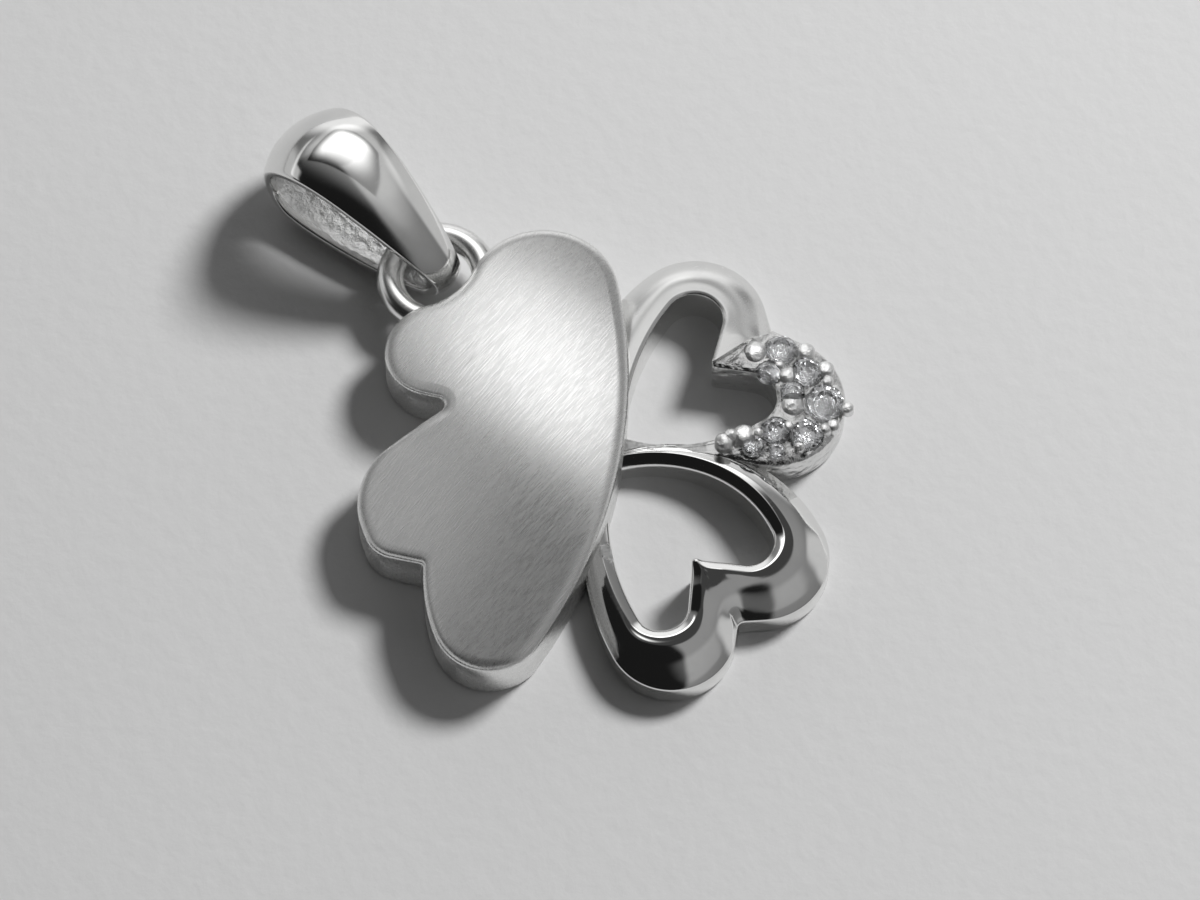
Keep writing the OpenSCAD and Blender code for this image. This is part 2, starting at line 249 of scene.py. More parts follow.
def make_piece(name: str, points: np.ndarray, faces: np.ndarray, smooth_below: float) -> bpy.types.Object:
    """Makes an object at the origin from faces of one size, with its doubled points merged.

    Args:
        name: the piece's name.
        points: vertices, in millimetres.
        faces: point numbers, a row for each face.
        smooth_below: edges that bend less than this many degrees are shaded smooth.

    Returns:
        The linked object, with its faces pointing outwards.
    """
    mesh = bpy.data.meshes.new(name)
    sides = faces.shape[1]
    mesh.vertices.add(len(points))
    mesh.vertices.foreach_set("co", (points * MM).astype(np.float32).ravel())
    mesh.loops.add(faces.size)
    mesh.loops.foreach_set("vertex_index", faces.astype(np.int32).ravel())
    mesh.polygons.add(len(faces))
    mesh.polygons.foreach_set("loop_start", np.arange(0, faces.size, sides, dtype=np.int32))
    mesh.update(calc_edges=True)
    mesh.validate()
    piece = link_new(name, mesh)
    close_up(mesh)
    mesh.shade_smooth()
    mesh.set_sharp_from_angle(angle=math.radians(smooth_below))
    return piece


def link_new(name: str, data: bpy.types.ID) -> bpy.types.Object:
    """Puts new data into the scene.

    Args:
        name: the object's name.
        data: its mesh, light or camera.

    Returns:
        The object, at the origin.
    """
    thing = bpy.data.objects.new(name, data)
    bpy.context.scene.collection.objects.link(thing)
    return thing


def close_up(mesh: bpy.types.Mesh) -> None:
    """Merges a mesh's doubled points and turns its faces outwards.

    Args:
        mesh: the mesh that is changed.
    """
    work = bmesh.new()
    work.from_mesh(mesh)
    bmesh.ops.remove_doubles(work, verts=work.verts, dist=MERGE)
    bmesh.ops.dissolve_degenerate(work, edges=work.edges, dist=MERGE / 10)
    bmesh.ops.recalc_face_normals(work, faces=work.faces)
    work.to_mesh(mesh)
    work.free()


def lay_uv(piece: bpy.types.Object, name: str, uv: np.ndarray) -> None:
    """Gives a piece a UV map.

    Args:
        piece: the piece.
        name: the map's name.
        uv: U and V, a row for each vertex.
    """
    mesh = piece.data
    corner = np.empty(len(mesh.loops), np.int32)
    mesh.loops.foreach_get("vertex_index", corner)
    mesh.uv_layers.new(name=name).data.foreach_set("uv", uv[corner].astype(np.float32).ravel())


def mark_skin(piece: bpy.types.Object, cast: np.ndarray) -> None:
    """UV map whose V is 1 at a vertex on metal that is left as cast, and 0 where it is polished."""
    lay_uv(piece, "skin", np.stack([np.full(len(cast), 0.5), cast], 1))


def settle(piece: bpy.types.Object, node: str, finish: bpy.types.Material) -> bpy.types.Object:
    """Lets a piece ride on the root, stand for its node and wear its finish.

    Args:
        piece: the finished piece.
        node: the node that it stands for.
        finish: the piece's material.

    Returns:
        The same piece.
    """
    piece.data.materials.append(finish)
    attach(piece, "root")
    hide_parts(node)
    log.info("%s: %d faces for %s", piece.name, len(piece.data.polygons), node)
    return piece


# Finishes


class Board:
    """Places and links the nodes of one node tree."""

    def __init__(self, tree: bpy.types.NodeTree) -> None:
        """Keeps the tree."""
        self.tree = tree

    def add(self, kind: str, settings: dict | None = None, **sockets: object) -> bpy.types.Node:
        """Adds a node.

        Args:
            kind: the node's type without its ShaderNode prefix.
            settings: the node's own properties.
            sockets: input values or output sockets to link, by input name, with spaces as underscores.

        Returns:
            The new node.
        """
        node = self.tree.nodes.new("ShaderNode" + kind)
        for key, value in (settings or {}).items():
            setattr(node, key, value)
        for key, value in sockets.items():
            self.feed(node, key.replace("_", " "), value)
        return node

    def feed(self, node: bpy.types.Node, key: str | int, value: object) -> None:
        """Sets or links one input of a node.

        Args:
            node: the node.
            key: the input's name or number.
            value: a value, or an output socket to link.
        """
        if isinstance(value, bpy.types.NodeSocket):
            self.tree.links.new(value, node.inputs[key])
        else:
            node.inputs[key].default_value = value

    def maths(self, operation: str, *values: object) -> bpy.types.NodeSocket:
        """Adds a Math node.

        Args:
            operation: its operation.
            values: numbers or sockets.

        Returns:
            Its result.
        """
        node = self.tree.nodes.new("ShaderNodeMath")
        node.operation = operation
        for k, value in enumerate(values):
            self.feed(node, k, value)
        return node.outputs[0]

    def plus(self, first: object, second: object) -> bpy.types.NodeSocket:
        """Sum of two numbers or sockets."""
        return self.maths("ADD", first, second)

    def times(self, first: object, second: object) -> bpy.types.NodeSocket:
        """Product of two numbers or sockets."""
        return self.maths("MULTIPLY", first, second)

    def blend(self, share: object, low: object, high: object) -> bpy.types.NodeSocket:
        """Mixes two numbers.

        Args:
            share: share of the second number, from 0 to 1.
            low: first number or socket.
            high: second number or socket.

        Returns:
            The mixed number.
        """
        node = self.tree.nodes.new("ShaderNodeMix")
        node.data_type = "FLOAT"
        for key, value in (("Factor", share), ("A", low), ("B", high)):
            self.feed(node, key, value)
        return node.outputs[0]

    def ramp(
        self, value: object, low: float, high: float, to_low: float = 0.0, to_high: float = 1.0
    ) -> bpy.types.NodeSocket:
        """Turns a value into a smooth step.

        Args:
            value: number or socket.
            low: value at which the step starts.
            high: value at which it ends.
            to_low: result up to the start.
            to_high: result from the end on.

        Returns:
            The result.
        """
        node = self.add(
            "MapRange", {"interpolation_type": "SMOOTHSTEP"}, Value=value, From_Min=low, From_Max=high,
            To_Min=to_low, To_Max=to_high,
        )
        return node.outputs["Result"]

    def noise(
        self, where: object, size: float, detail: float = 3.0, rough: float = 0.5
    ) -> bpy.types.NodeSocket:
        """Adds noise.

        Args:
            where: coordinates.
            size: size of the lumps, about, in millimetres.
            detail: number of finer layers.
            rough: share of each finer layer.

        Returns:
            The noise, from 0 to 1.
        """
        scale = 1 / (size * MM)
        node = self.add("TexNoise", None, Vector=where, Scale=scale, Detail=detail, Roughness=rough)
        return node.outputs[0]


def effect_group(
    name: str, inputs: dict[str, float], outputs: tuple[str, ...]
) -> tuple[Board, bpy.types.NodeOutputs, bpy.types.Node]:
    """Starts a shader node group with named sockets.

    Args:
        name: the group's name.
        inputs: names and default values of its number inputs, after a Vector input named Place.
        outputs: names of its number outputs.

    Returns:
        A board on the group, the sockets that bring its inputs, and the node that takes its outputs.
    """
    tree = bpy.data.node_groups.new(name, "ShaderNodeTree")
    tree.interface.new_socket("Place", in_out="INPUT", socket_type="NodeSocketVector")
    for key, value in inputs.items():
        tree.interface.new_socket(key, in_out="INPUT", socket_type="NodeSocketFloat").default_value = value
    for key in outputs:
        tree.interface.new_socket(key, in_out="OUTPUT", socket_type="NodeSocketFloat")
    return Board(tree), tree.nodes.new("NodeGroupInput").outputs, tree.nodes.new("NodeGroupOutput")


class Effects:
    """Node groups that more than one finish uses."""

    hairline_turn: tuple[float, float, float] = (0.3, 0.5, 0.7)
    hairline_scale: tuple[float, float, float] = (300, 14000, 14000)
    hairline_depth: float = 0.0008
    spot_size: float = 0.35
    spot_share: float = 0.35

    def __init__(self) -> None:
        """Builds the groups."""
        self.polish = self.make_polish()
        self.film = self.make_film()

    def make_polish(self) -> bpy.types.NodeTree:
        """Builds hand polish: slow waves in the surface with fine hairline scratches, as a height in metres.

        Returns:
            The group.
        """
        inputs = {"Wave size": 1.5, "Wave height": 0.01, "Hairlines": 0.3}
        board, given, end = effect_group("hand_polish", inputs, ("Height", "Scratches"))
        waves = board.add("TexNoise", None, Vector=given["Place"], Detail=1.0, Roughness=0.4)
        board.feed(waves, "Scale", board.maths("DIVIDE", 1 / MM, given["Wave size"]))
        drawn = board.add(
            "Mapping", None, Vector=given["Place"], Rotation=self.hairline_turn, Scale=self.hairline_scale
        )
        lines = board.add("TexNoise", None, Vector=drawn.outputs[0], Scale=1.0, Detail=2.0)
        scratch = board.times(board.ramp(lines.outputs[0], 0.62, 0.72), given["Hairlines"])
        height = board.times(waves.outputs[0], board.times(given["Wave height"], MM))
        cut = board.times(scratch, self.hairline_depth * MM)
        board.feed(end, "Height", board.maths("SUBTRACT", height, cut))
        board.feed(end, "Scratches", scratch)
        return board.tree

    def make_film(self) -> bpy.types.NodeTree:
        """Builds the grey film that handling leaves on silver: a cloudy mask with small spots.

        Returns:
            The group.
        """
        board, given, end = effect_group("grey_film", {"Cloud size": 3.0, "Amount": 0.5}, ("Mask",))
        clouds = board.add("TexNoise", None, Vector=given["Place"], Detail=4.0, Roughness=0.6)
        board.feed(clouds, "Scale", board.maths("DIVIDE", 1 / MM, given["Cloud size"]))
        spots = board.ramp(board.noise(given["Place"], self.spot_size), 0.6, 0.75)
        both = board.plus(board.ramp(clouds.outputs[0], 0.35, 0.7), board.times(spots, self.spot_share))
        board.feed(end, "Mask", board.times(both, given["Amount"]))
        return board.tree

    @staticmethod
    def place(board: Board, tree: bpy.types.NodeTree, where: object, **values: float) -> bpy.types.Node:
        """Puts a group into a material with its own values.

        Args:
            board: the board on the material.
            tree: the group.
            where: coordinates.
            values: the group's inputs by name, with spaces as underscores.

        Returns:
            The group's node.
        """
        node = board.tree.nodes.new("ShaderNodeGroup")
        node.node_tree = tree
        board.feed(node, "Place", where)
        for key, value in values.items():
            board.feed(node, key.replace("_", " "), value)
        return node


@dataclass(frozen=True)
class Finish:
    """A material's name, its light and dark colours, and its roughness."""

    name: str
    light: tuple[float, float, float]
    dark: tuple[float, float, float]
    roughness: float

    def shader(self) -> tuple[bpy.types.Material, Board, bpy.types.Node, bpy.types.NodeSocket]:
        """Starts the material.

        Returns:
            The material, its board, its Principled shader and its Object coordinates.
        """
        material = bpy.data.materials.new(self.name)
        material.use_nodes = True
        board = Board(material.node_tree)
        shader = material.node_tree.nodes["Principled BSDF"]
        return material, board, shader, board.add("TexCoord").outputs["Object"]

    def tint(self, board: Board, shader: bpy.types.Node, mask: bpy.types.NodeSocket) -> None:
        """Sets the base colour.

        Args:
            board: the material's board.
            shader: its shader.
            mask: 0 for the light colour, 1 for the dark one.
        """
        mix = board.add("Mix", {"data_type": "RGBA"})
        board.feed(mix, 0, mask)
        board.feed(mix, 6, self.light + (1.0,))
        board.feed(mix, 7, self.dark + (1.0,))
        board.feed(shader, "Base Color", mix.outputs[2])

    def dent(self, board: Board, shader: bpy.types.Node, height: bpy.types.NodeSocket) -> None:
        """Bump from a height in metres."""
        bump = board.add("Bump", None, Strength=1.0, Distance=1.0, Height=height)
        board.feed(shader, "Normal", bump.outputs[0])


@dataclass(frozen=True)
class SatinFinish(Finish):
    """Brushed silver whose strokes run nearly along X. Strokes are given by their length and width in mm."""

    stroke_turn: float = 0.24
    stretch: float = 0.8
    stroke_depth: float = 0.0044
    strokes: tuple[tuple[float, float], ...] = ((0.55, 0.03), (0.9, 0.06), (1.3, 0.16))

    def build(self, effects: Effects) -> bpy.types.Material:
        """Builds the material: noise drawn out along the strokes moves the height and the roughness.

        Args:
            effects: the shared node groups.

        Returns:
            The material.
        """
        material, board, shader, place = self.shader()
        shader.inputs["Metallic"].default_value = 1.0
        fine, middle, broad = (self.stroke(board, place, *size) for size in self.strokes)
        film = effects.place(board, effects.film, place, Cloud_size=4.0, Amount=0.45).outputs["Mask"]
        grain = board.plus(board.times(fine, 0.6), board.times(middle, 0.4))
        mask = board.plus(board.times(film, 0.5), board.ramp(broad, 0.35, 0.7, 0.0, 0.25))
        self.tint(board, shader, mask)
        rough = board.plus(board.ramp(grain, 0.3, 0.7, -0.07, 0.07), self.roughness)
        board.feed(shader, "Roughness", rough)
        height = board.plus(grain, board.times(broad, 0.3))
        shader.inputs["Anisotropic"].default_value = self.stretch
        along = board.add("Tangent", {"direction_type": "UV_MAP", "uv_map": "strokes"})
        board.feed(shader, "Tangent", along.outputs[0])
        self.dent(board, shader, board.times(height, self.stroke_depth * MM))
        return material

    def stroke(self, board: Board, place: object, length: float, width: float) -> bpy.types.NodeSocket:
        """Draws noise out along the strokes.

        Args:
            board: the material's board.
            place: its coordinates.
            length: length of a stroke in millimetres.
            width: its width in millimetres.

        Returns:
            The noise.
        """
        turn = (0, 0, self.stroke_turn)
        drawn = board.add("Mapping", {"vector_type": "TEXTURE"}, Vector=place, Rotation=turn)
        drawn.inputs["Scale"].default_value = (length * MM, width * MM, width * MM)
        noise = board.add("TexNoise", None, Vector=drawn.outputs[0], Scale=1.0, Detail=2.5, Roughness=0.6)
        return noise.outputs[0]


@dataclass(frozen=True)
class PolishedFinish(Finish):
    """Hand polished silver, left rough where solder flowed and where the skin map says it is as cast.

    A solder spot's x, y and reach are in millimetres.
    """

    wave_size: float = 1.6
    wave_height: float = 0.012
    lump_height: float = 0.06
    solder: tuple[tuple[float, float, float], ...] = ()
    cast_uv: bool = False
    cast_rough: float = 0.22
    solder_rough: float = 0.22

    def build(self, effects: Effects) -> bpy.types.Material:
        """Builds the material: polish waves and hairlines, with lumpy skin where the masks are 1.

        Args:
            effects: the shared node groups.

        Returns:
            The material.
        """
        material, board, shader, place = self.shader()
        shader.inputs["Metallic"].default_value = 1.0
        waves = {"Wave_size": self.wave_size, "Wave_height": self.wave_height}
        polish = effects.place(board, effects.polish, place, **waves)
        film = effects.place(board, effects.film, place, Cloud_size=2.0, Amount=0.35).outputs["Mask"]
        solder, cast = self.solder_mask(board, place), self.cast_mask(board)
        skin = board.maths("MAXIMUM", solder, cast)
        bumps = board.times(self.lumps(board, place), board.times(skin, self.lump_height * MM))
        grey_skin = board.times(skin, board.noise(place, 0.5))
        self.tint(board, shader, board.maths("MAXIMUM", film, grey_skin))
        rough = board.plus(board.times(polish.outputs["Scratches"], 0.1), self.roughness)
        for mask, more in ((film, 0.08), (cast, self.cast_rough), (solder, self.solder_rough)):
            rough = board.plus(rough, board.times(mask, more))
        board.feed(shader, "Roughness", rough)
        self.dent(board, shader, board.plus(polish.outputs["Height"], bumps))
        return material

    def lumps(self, board: Board, place: object) -> bpy.types.NodeSocket:
        """Makes lumps: noise of two sizes and rounded cells, as shares of the lumps' height.

        Args:
            board: the material's board.
            place: its coordinates.

        Returns:
            The lumps, above and below 0.
        """
        fine = board.times(board.noise(place, 0.09, 2.0), 0.3)
        noise = board.plus(board.noise(place, 0.35, 4.0, 0.65), fine)
        scale = 1 / (0.32 * MM)
        cells = board.add("TexVoronoi", {"feature": "SMOOTH_F1"}, Vector=place, Scale=scale, Smoothness=0.5)
        return board.maths("SUBTRACT", board.plus(noise, board.times(cells.outputs["Distance"], 0.8)), 1.0)

    def solder_mask(self, board: Board, place: bpy.types.NodeSocket) -> object:
        """Marks the solder spots.

        Args:
            board: the material's board.
            place: its coordinates.

        Returns:
            1 inside a spot, falling to 0 over a ragged edge.
        """
        mask: object = 0.0
        if not self.solder:
            return mask
        flat = board.add("VectorMath", {"operation": "MULTIPLY"})
        board.feed(flat, 0, place)
        board.feed(flat, 1, (1.0, 1.0, 0.0))
        for x, y, reach in self.solder:
            apart = board.add("VectorMath", {"operation": "DISTANCE"})
            board.feed(apart, 0, flat.outputs[0])
            board.feed(apart, 1, (x * MM, y * MM, 0.0))
            ragged = board.plus(apart.outputs["Value"], board.times(board.noise(place, 0.5), 0.5 * MM))
            spot = board.ramp(ragged, (reach + 0.1) * MM, (reach + 0.35) * MM, 1.0, 0.0)
            mask = board.maths("MAXIMUM", mask, spot)
        return mask

    def cast_mask(self, board: Board) -> object:
        """Marks the skin that is left as cast.

        Args:
            board: the material's board.

        Returns:
            The skin map's V with a steeper edge, or 0 for a piece that is polished all over.
        """
        if not self.cast_uv:
            return 0.0
        uv = board.add("SeparateXYZ", None, Vector=board.add("UVMap", {"uv_map": "skin"}).outputs[0])
        return board.ramp(uv.outputs["Y"], 0.1, 0.9)


@dataclass(frozen=True)
class StoneFinish(Finish):
    """Clear cut stone."""

    ior: float = 2.1

    def build(self, effects: Effects) -> bpy.types.Material:
        """Builds the material: clear glass with a faint film on its facets.

        Args:
            effects: the shared node groups.

        Returns:
            The material.
        """
        material, board, shader, place = self.shader()
        shader.inputs["Transmission Weight"].default_value = 1.0
        shader.inputs["IOR"].default_value = self.ior
        film = effects.place(board, effects.film, place, Cloud_size=0.5, Amount=0.4).outputs["Mask"]
        self.tint(board, shader, film)
        board.feed(shader, "Roughness", board.plus(board.times(film, 0.06), self.roughness))
        return material


@dataclass(frozen=True)
class FloorFinish(Finish):
    """Pale plain floor."""

    def build(self) -> bpy.types.Material:
        """Builds the material: pale matt plaster with faint clouds.

        Returns:
            The material.
        """
        material, board, shader, place = self.shader()
        self.tint(board, shader, board.noise(place, 40.0, 4.0))
        shader.inputs["Roughness"].default_value = self.roughness
        self.dent(board, shader, board.times(board.noise(place, 0.6, 4.0), 0.02 * MM))
        return material


# The pendant's pieces


@dataclass(frozen=True)
class SatinPlate:
    """Top and left leaves in one thick domed plate, with its sizes in millimetres.

    The rows are those of a plan line. Their last two columns give the shares of the long inner edge
    that face each circle's start and end.
    """

    finish: bpy.types.Material
    height: float = 2.42
    bow: float = 0.5
    roll: float = 0.46
    edge: float = 0.2
    border: float = 0.4
    edge_steps: int = 9
    crest: float = 0.3 * LEAF
    sides: float = 0.93 * LEAF
    spacing: float = 0.085
    across: int = 60
    rows: tuple[tuple[float, ...], ...] = (
        (0.217, 0.672, 0.307, -0.265, 0.00, 0.26),
        (-0.270, 0.737, 0.210, 5, 0.34, 0.43),
        (-0.425, 0.536, -0.034, 5, 0.475, 0.485),
        (-0.687, 0.211, 0.298, 0.7, 0.57, 0.64),
        (-0.854, 0.207, 0.140, 5, 0.66, 0.72),
        (-0.906, 0.012, -0.020, 0.72, 0.77, 0.78),
        (-0.805, -0.323, 0.231, 2.11, 0.84, 1.00),
    )

    def dome(self, plan: np.ndarray) -> np.ndarray:
        """Works out the dome's height - bow * along^2 - roll * across^2.

        The place along runs between the leaves' ends in shares of a leaf, and the place across from the
        crest in shares of its distance to the leaves' outer sides.

        Args:
            plan: plan points, with their coordinates last.

        Returns:
            The heights.
        """
        along = (plan[..., 0] + plan[..., 1]) / math.sqrt(2) / LEAF
        across = ((plan[..., 1] - plan[..., 0]) / math.sqrt(2) - self.crest) / (self.sides - self.crest)
        return self.height - self.bow * along**2 - self.roll * across**2

    def loops(self) -> tuple[Walk, np.ndarray]:
        """Walks round the plate: along its outer edge, then back along the inner edge, which is one arc.

        Returns:
            The walk, and the shares of the inner edge that face the outer edge's points.
        """
        line = PlanLine(self.rows)
        outer = 2 * len(self.rows) - 1
        at = np.append(line.spread(self.spacing, outer), outer)
        knots = np.array(self.rows)[:, 4:6].ravel()
        shares = np.interp(at, np.arange(len(knots)), knots)
        # Shares count back from just short of the last arc's end, which is the first point
        back = outer + 1 - 1e-9 - shares[1:-1][::-1]
        return line.walk(np.concatenate([at, back])), shares

    def build(self) -> bpy.types.Object:
        """Builds side rings from the foot to the rounded edge, lines across the dome and a flat back.

        Returns:
            The plate.
        """
        walk, shares = self.loops()
        m, n = len(shares), len(walk.radius)
        rings = foot_rings(walk)
        for turn in np.linspace(0, np.pi / 2, self.edge_steps):
            plan = walk.inset(np.full(n, self.border * (1 - math.cos(turn))))
            rings.append(lift(plan, self.dome(plan) - self.edge * (1 - math.sin(turn))))

        def sides(ring: np.ndarray) -> tuple[np.ndarray, np.ndarray]:
            """Outer side of a ring, and the points of its inner side that face it."""
            return ring[:m], np.concatenate([ring[:1], ring[m:][::-1], ring[m - 1 : m]])

        outer, inner = sides(rings[-1])
        t = (1 - np.cos(np.linspace(0, np.pi, self.across))) / 2
        plan = outer[None, :, :2] * (1 - t)[:, None, None] + inner[None, :, :2] * t[:, None, None]
        top = np.concatenate([plan, self.dome(plan)[..., None]], -1)
        side, back = np.stack(rings), np.stack(sides(rings[0]))
        points = np.concatenate([part.reshape(-1, 3) for part in (side, top, back)])
        faces = np.concatenate([
            grid_faces(len(rings), n),
            grid_faces(self.across, m, n * len(rings), ring=False)[:, ::-1],
            grid_faces(2, m, n * len(rings) + m * self.across, ring=False),
        ])
        piece = make_piece("satin_plate", points, faces, smooth_below=50)
        self.mark_strokes(piece)
        return settle(piece, "clover_body", self.finish)

    @staticmethod
    def mark_strokes(piece: bpy.types.Object) -> None:
        """Maps U across the brush strokes and V along them, in shares of the clover's width.

        Args:
            piece: the plate.
        """
        spot = np.empty(len(piece.data.vertices) * 3, np.float32)
        piece.data.vertices.foreach_get("co", spot)
        x, y = spot.reshape(-1, 3)[:, :2].T / (2 * LEAF * MM)
        turn = SatinFinish.stroke_turn
        u, v = y * math.cos(turn) - x * math.sin(turn), x * math.cos(turn) + y * math.sin(turn)
        lay_uv(piece, "strokes", np.stack([u, v], 1) + 0.5)


@dataclass(frozen=True)
class Stones:
    """Clear stones, their seats and the grains of metal raised beside them.

    Stones' columns: x, y, diameter as a share of the largest and outward lean in degrees. Grains'
    columns: x, y and diameter as a share of the largest. Places are shares of half the clover's width.
    Lumps lie in the box from lump_low to lump_high, in the same shares. A grain's dome and root are
    heights in shares of its radius. Other sizes are in millimetres.
    """

    largest: float = 0.15 * LEAF
    grain: float = 0.1 * LEAF
    grain_dome: float = 0.55
    grain_root: tuple[float, float] = (-1.2, -2.0)
    grain_steps: int = 8
    grain_sides: int = 24
    girdle: float = 1.62
    seat: float = 0.32
    seat_radius: float = 0.45
    collar: float = 0.05
    grain_top: float = 1.71
    lobe: tuple[float, float] = (0.689 * LEAF, -0.236 * LEAF)
    lump_count: int = 150
    lump_low: tuple[float, float] = (0.42, -0.56)
    lump_high: tuple[float, float] = (0.99, 0.05)
    stones: tuple[tuple[float, float, float, float], ...] = (
        (0.845, -0.082, 0.84, 12),
        (0.867, -0.225, 0.81, 10),
        (0.837, -0.380, 1.00, 10),
        (0.735, -0.139, 0.66, -6),
        (0.693, -0.446, 0.81, 12),
        (0.602, -0.355, 0.73, 0),
        (0.494, -0.349, 0.53, 0),
        (0.550, -0.430, 0.42, 6),
        (0.759, -0.265, 0.60, -4),
    )
    grains: tuple[tuple[float, float, float], ...] = (
        (0.753, -0.027, 1.00), (0.797, -0.135, 0.45), (0.795, -0.190, 0.80), (0.729, -0.305, 1.00),
        (0.492, -0.293, 0.95), (0.410, -0.266, 0.75), (0.448, -0.262, 0.55), (0.918, -0.150, 0.75),
        (0.932, -0.262, 0.70), (0.905, -0.310, 0.45), (0.893, -0.452, 0.50), (0.800, -0.478, 0.55),
        (0.766, -0.470, 0.50), (0.655, -0.372, 0.45), (0.541, -0.322, 0.40), (0.634, -0.470, 0.45),
    )

    def centres(self) -> tuple[np.ndarray, np.ndarray]:
        """Stones' plan places and radii in millimetres."""
        table = np.array(self.stones)
        return table[:, :2] * LEAF, table[:, 2] * self.largest / 2

    def lumps(self, points: np.ndarray) -> np.ndarray:
        """Makes the metal between the stones uneven.

        It is the sum of h * e^-(q / w)^2 at distances q from spots that are drawn once, with widths w
        and heights h that are drawn too.

        Args:
            points: points, with their coordinates last.

        Returns:
            Heights to add.
        """
        draw = np.random.default_rng(7)
        spots = draw.uniform(self.lump_low, self.lump_high, (self.lump_count, 2)) * LEAF
        wide = draw.uniform(0.13, 0.26, self.lump_count)
        high = draw.uniform(-0.10, 0.12, self.lump_count)
        apart = ((points[..., None, :2] - spots) ** 2).sum(-1)
        return (high * np.exp(-apart / wide**2)).sum(-1)

    def sink(self, points: np.ndarray, share: np.ndarray) -> np.ndarray:
        """Cuts the seats into a surface, raises a low collar round each and makes the rest uneven.

        A seat lies under the girdle by seat * min(r, seat_radius) / seat_radius inside 0.92 of the
        stone's radius r, and eases back at 1.03 r. The collar is a bell curve at 1.13 r. The lumps
        begin between 0.4 and 0.5 of a leaf from the clover's middle.

        Args:
            points: the surface's points, with their coordinates last.
            share: share of the change that each point gets.

        Returns:
            The changed points.
        """
        spots, radii = self.centres()
        reach = np.linalg.norm(points[..., None, :2] - spots, axis=-1) / radii
        inside = 1 - eased(reach, 0.92, 1.03)
        collar = self.collar * np.exp(-(((reach - 1.13) / 0.08) ** 2)).sum(-1) * share
        floor = self.girdle - self.seat * np.minimum(radii, self.seat_radius) / self.seat_radius
        begun = eased(np.linalg.norm(points[..., :2], axis=-1), 0.4 * LEAF, 0.5 * LEAF)
        out = points.copy()
        out[..., 2] += collar + self.lumps(points) * share * begun
        drop = np.maximum(out[..., 2:] - floor, 0) * inside
        out[..., 2] -= drop.max(-1) * share
        return out

    def cut(self, diameter: float) -> tuple[np.ndarray, list[tuple[int, ...]]]:
        """Cuts a brilliant round the origin: table, stars, kites, halves, girdle and pavilion.

        A kite's plane falls by a set amount for each unit outwards from the table's corner to the
        girdle, and the stars' outer corners lie in the kites' planes. A main facet rises from the culet.

        Args:
            diameter: the girdle's diameter, which all the other sizes are shares of.

        Returns:
            The points, and the point numbers of each facet.
        """
        table, stars, lower, girdle = 0.29, 0.40, 0.12, 0.5
        high, thin, deep = 0.17, 0.02, -0.43
        fall, rise = 0.72, 0.83
        eight, sixteen = np.arange(8) * np.pi / 4, np.arange(16) * np.pi / 8
        between, half = eight + np.pi / 8, np.cos(np.pi / 8)

        def ring(radius: float, angle: np.ndarray, height: float) -> np.ndarray:
            """Points on a level circle."""
            return np.stack([radius * np.cos(angle), radius * np.sin(angle), np.full(len(angle), height)], 1)

        points = np.concatenate([
            ring(table, eight, high),
            ring(stars, between, high - fall * (stars * half - table)),
            ring(girdle, sixteen, thin),
            ring(girdle, sixteen, -thin),
            ring(lower, between, deep + rise * lower * half),
            ring(0.0, np.zeros(1), deep),
        ])
        faces: list[tuple[int, ...]] = [tuple(range(8))]
        for k in range(8):
            on, back = (k + 1) % 8, (k - 1) % 8
            a, b, c = 16 + 2 * k, 16 + 2 * k + 1, 16 + (2 * k + 2) % 16
            faces += [
                (k, 8 + k, on), (k, 8 + back, a, 8 + k), (8 + k, a, b), (8 + k, b, c),
                (a, a + 16, b + 16, b), (b, b + 16, c + 16, c),
                (48 + k, b + 16, a + 16), (48 + k, c + 16, b + 16), (56, 48 + k, a + 16, 48 + back),
            ]
        return points * diameter, faces

    def build_stone(self, number: int, finish: bpy.types.Material) -> bpy.types.Object:
        """Builds one flat-faced stone, leaning away from the lobe's centre by its angle.

        A point p turns about a level axis k by a: p cos a + k x p sin a + k (k . p) (1 - cos a).

        Args:
            number: the stone's number, from 1.
            finish: its material.

        Returns:
            The stone.
        """
        x, y, size, lean = self.stones[number - 1]
        points, faces = self.cut(size * self.largest)
        out = np.array([x * LEAF - self.lobe[0], y * LEAF - self.lobe[1]])
        out /= np.linalg.norm(out)
        axis, a = np.array([-out[1], out[0], 0.0]), math.radians(lean)
        cross, along = np.cross(axis, points), axis * (points @ axis)[:, None]
        points = points * math.cos(a) + cross * math.sin(a) + along * (1 - math.cos(a))
        points += np.array([x * LEAF, y * LEAF, self.girdle])
        mesh = bpy.data.meshes.new(f"cut_stone_{number}")
        mesh.from_pydata((points * MM).tolist(), [], faces)
        close_up(mesh)
        return settle(link_new(mesh.name, mesh), f"stone_{number}", finish)

